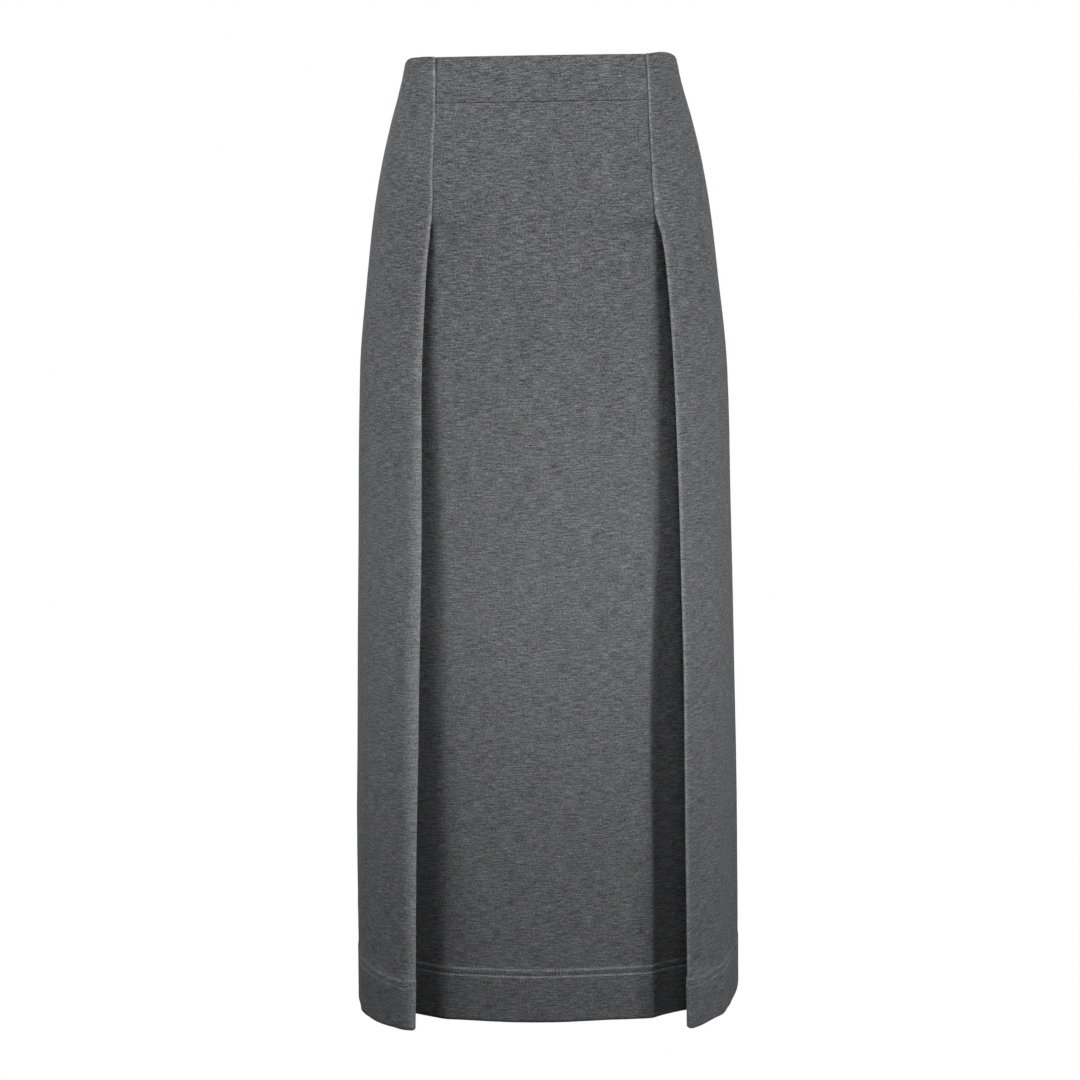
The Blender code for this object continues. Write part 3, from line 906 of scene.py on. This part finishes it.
def guide_mesh(name, lines):
    """Edge chains for sewing, one for each (points, outward vectors), in metres."""
    points, outward, edges = [], [], []
    for line, away in lines:
        first = len(points)
        points.extend(line.tolist())
        outward.extend(away.tolist())
        edges.extend((i, i + 1) for i in range(first, first + len(line) - 1))
    mesh = bpy.data.meshes.new(name)
    mesh.from_pydata(points, edges, [])
    layer = mesh.attributes.new("outward", "FLOAT_VECTOR", "POINT")
    layer.data.foreach_set("vector", np.array(outward).ravel())
    guide = bpy.data.objects.new(name, mesh)
    bpy.context.scene.collection.objects.link(guide)
    return guide


def sewn(name, lines, tree, sizes, seed, thread):
    """One piece of sewing: a tree run along its guides and made a plain mesh."""
    guide = guide_mesh(name, lines)
    modifier = guide.modifiers.new("sewing", "NODES")
    modifier.node_group = tree
    sockets = [item for item in tree.interface.items_tree if item.in_out == "INPUT"]
    given = {socket.name: socket.identifier for socket in sockets}
    for size, value in sizes.items():
        modifier[given[size]] = value * MM
    modifier[given["Seed"]] = seed
    modifier[given["Thread"]] = thread
    evaluated = guide.evaluated_get(bpy.context.evaluated_depsgraph_get())
    mesh = bpy.data.meshes.new_from_object(evaluated)
    guide.modifiers.remove(modifier)
    guide.data = mesh
    mesh.name = name
    return guide


def sewing_line(panel, drop, inset=0.0, out=0.0):
    """Points along a panel at one drop, close enough for stitches, and the outward vectors."""

    def along(marks):
        return np.arange(marks[0] + SEWING_MARGIN, marks[-1] - SEWING_MARGIN, SEWING_STEP)

    return panel.row(drop, inset, out, along)[:2]


def flat_cut(points):
    """The flat size and area of the cloth in a panel, in metres."""
    widths = np.linalg.norm(np.diff(points, axis=1), axis=2).sum(axis=1)
    steps = np.linalg.norm(np.diff(points, axis=0), axis=2).mean(axis=1)
    area = ((widths[:-1] + widths[1:]) / 2 * steps).sum()
    return (float(widths.max()), float(steps.sum())), float(area)


PANELS = {
    "jersey_front_band": Panel(
        "front_band", centre_plan, band_rows(), (HIDDEN_STEP, CREASE_STEP, HIDDEN_STEP),
        (), 1.3,
    ),
    "jersey_front_centre": Panel(
        "front_centre", centre_plan, body_rows(BAND_HEIGHT + SEAM_GAP / 2),
        (HIDDEN_STEP, CREASE_STEP * 1.5, HIDDEN_STEP), CENTRE_HOLLOWS, 2.6,
    ),
    "jersey_side_front_left": Panel(
        "side_front_left", lambda drop: side_plan(drop, -1), body_rows(0.0),
        (HIDDEN_STEP, TURN_FACES, OUTER_STEP), LEFT_HOLLOWS, 4.1, "left",
    ),
    "jersey_side_front_right": Panel(
        "side_front_right", lambda drop: side_plan(drop, 1), body_rows(0.0),
        (OUTER_STEP, TURN_FACES, HIDDEN_STEP), RIGHT_HOLLOWS, 5.9, "right",
    ),
    "jersey_back": Panel(
        "back", back_plan, body_rows(0.0), (BACK_STEP,), BACK_HOLLOWS, 7.7,
    ),
}
SEWN_TO = {
    "jersey_front_band": ("jersey_side_front_left", "jersey_side_front_right"),
    "jersey_front_centre": ("jersey_front_band",),
    "jersey_side_front_left": ("jersey_back",),
    "jersey_side_front_right": ("jersey_back",),
    "jersey_back": ("jersey_side_front_left", "jersey_side_front_right"),
}


def sew_the_hem(panel, number, thread):
    """The two rows of topstitching on a panel's hem, and the looper threads inside it."""
    sizes = {
        "Pitch": STITCH_PITCH, "Stitch length": STITCH_LENGTH, "Thread radius": THREAD_RADIUS,
    }
    lines = [sewing_line(panel, row, out=STITCH_PROUD) for row in STITCH_DROPS]
    topstitch = sewn(panel.node + "_topstitch", lines, STITCH_TREE, sizes, number, thread)
    sizes = {
        "Pitch": LOOPER_PITCH, "Height": STITCH_DROPS[1] - STITCH_DROPS[0],
        "Step out": LOOPER_PROUD, "Thread radius": LOOPER_RADIUS,
    }
    lines = [sewing_line(panel, sum(STITCH_DROPS) / 2, 2 * HEM_TURN + LOOPER_RADIUS)]
    return topstitch, sewn(panel.node + "_coverstitch", lines, LOOPER_TREE, sizes, number, thread)


def dress_the_skirt():
    """Every panel with its own sewing, ridden and replaced."""
    jersey, thread = melange_jersey(), sewing_thread()
    dressed = []
    for number, (name, panel) in enumerate(PANELS.items()):
        points, cloth, wear_and_painted_light = panel.points()
        size, area = flat_cut(points)
        cloth += (CUT_STEP * number + CUT_STARTS, 0.0)
        sheet = cloth_sheet(name, points, cloth, wear_and_painted_light, jersey)
        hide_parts(panel.node)
        hemmed = panel.node != "front_band"
        sewing = sew_the_hem(panel, number, thread) if hemmed else ()
        for piece in (sheet, *sewing):
            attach(piece, "root")
        dressed.append((sheet, size, area, SEWN_TO[name], sewing))
    return dressed


STITCH_TREE, LOOPER_TREE = running_stitch_tree(), looper_zigzag_tree()
for sheet, size, area, sewn_to, sewing in dress_the_skirt():
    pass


# The studio, in metres. A light's azimuth is in degrees from the front towards +X, and its aim
# is how high on the skirt's middle it looks
FLOOR_HEIGHT, DOME_RADIUS = -1.25, 9.0
CAMERA_PLACE, CAMERA_AIM = (-0.0046, -2.8, -0.03), (-0.0046, 0.0, -0.4475)
CAMERA_LENS, CAMERA_ROLL = 100.78, -0.5
LIGHT_COLUMNS = ("name", "azimuth", "away", "height", "size", "spread", "aim", "watts")
LIGHTS = (
    ("left_window", -50.0, 1.35, 1.0, 0.9, 180.0, -0.35, 14.4),
    ("right_window", 55.0, 1.35, 1.0, 0.5, 180.0, -0.35, 11.4),
    ("right_low", 55.0, 1.35, -0.85, 0.5, 180.0, -0.35, 4.4),
    ("top_window", 0.0, 0.5, 1.6, 0.8, 180.0, -0.35, 12.6),
    ("left_middle", -64.0, 1.35, -0.3, 0.9, 50.0, -0.4, 0.85),
    ("right_middle", 45.0, 1.35, -0.3, 0.35, 50.0, -0.4, 0.30),
    ("front_middle", 14.0, 1.2, -0.5, 0.4, 180.0, -0.4, 0.95),
    ("front_spot", 3.0, 2.0, -0.45, 0.3, 16.0, -0.46, 0.07),
    ("left_back", -168.0, 1.9, 0.3, 0.9, 180.0, -0.35, 15.0),
    ("right_back", 166.0, 1.9, 0.3, 0.9, 180.0, -0.35, 9.0),
)
AMBIENT = 0.02


def plain_white(name):
    """A material that shows as plain white however it is lit."""
    material = bpy.data.materials.new(name)
    material.use_nodes = True
    tree = material.node_tree
    tree.nodes.clear()
    glow = add(tree, "ShaderNodeEmission", {"Color": (1, 1, 1, 1), "Strength": 1.0})
    add(tree, "ShaderNodeOutputMaterial", {"Surface": glow.outputs[0]})
    return material


def backdrop(name, material):
    """The last added object as a backdrop that only the camera sees."""
    thing = bpy.context.object
    thing.name = name
    thing.data.materials.append(material)
    for ray in ("diffuse", "glossy", "transmission", "volume_scatter", "shadow"):
        setattr(thing, "visible_" + ray, False)


def looking(place, aim):
    """How a light or a camera stands at one place and looks at another."""
    away = Vector(place) - Vector(aim)
    return Matrix.Translation(place) @ away.to_track_quat("Z", "Y").to_matrix().to_4x4()


def studio():
    """A white floor and backdrop, the lights, and the faint light of the room."""
    white = plain_white("studio_white")
    bpy.ops.mesh.primitive_plane_add(size=12, location=(0, 0, FLOOR_HEIGHT))
    backdrop("floor", white)
    bpy.ops.mesh.primitive_uv_sphere_add(segments=32, ring_count=16, radius=DOME_RADIUS)
    backdrop("backdrop", white)
    for row in LIGHTS:
        facts = dict(zip(LIGHT_COLUMNS, row))
        light = bpy.data.lights.new(facts["name"], "AREA")
        light.size = facts["size"]
        light.energy = facts["watts"]
        light.spread = math.radians(facts["spread"])
        lamp = bpy.data.objects.new(facts["name"], light)
        turn = math.radians(facts["azimuth"])
        place = (facts["away"] * math.sin(turn), -facts["away"] * math.cos(turn), facts["height"])
        lamp.matrix_world = looking(place, (0.0, 0.0, facts["aim"]))
        lamp.visible_camera = False
        bpy.context.scene.collection.objects.link(lamp)
    world = bpy.data.worlds.new("studio")
    bpy.context.scene.world = world
    world.use_nodes = True
    world.node_tree.nodes["Background"].inputs["Color"].default_value = (1, 1, 1, 1)
    world.node_tree.nodes["Background"].inputs["Strength"].default_value = AMBIENT


def camera():
    """The camera, made the scene's own."""
    lens = bpy.data.cameras.new("camera")
    lens.lens, lens.sensor_width = CAMERA_LENS, 36.0
    lens.clip_end = 50.0
    eye = bpy.data.objects.new("camera", lens)
    roll = Matrix.Rotation(math.radians(CAMERA_ROLL), 4, "Z")
    eye.matrix_world = looking(CAMERA_PLACE, CAMERA_AIM) @ roll
    bpy.context.scene.collection.objects.link(eye)
    bpy.context.scene.camera = eye


studio()
camera()
bpy.context.scene.view_settings.view_transform = "Standard"
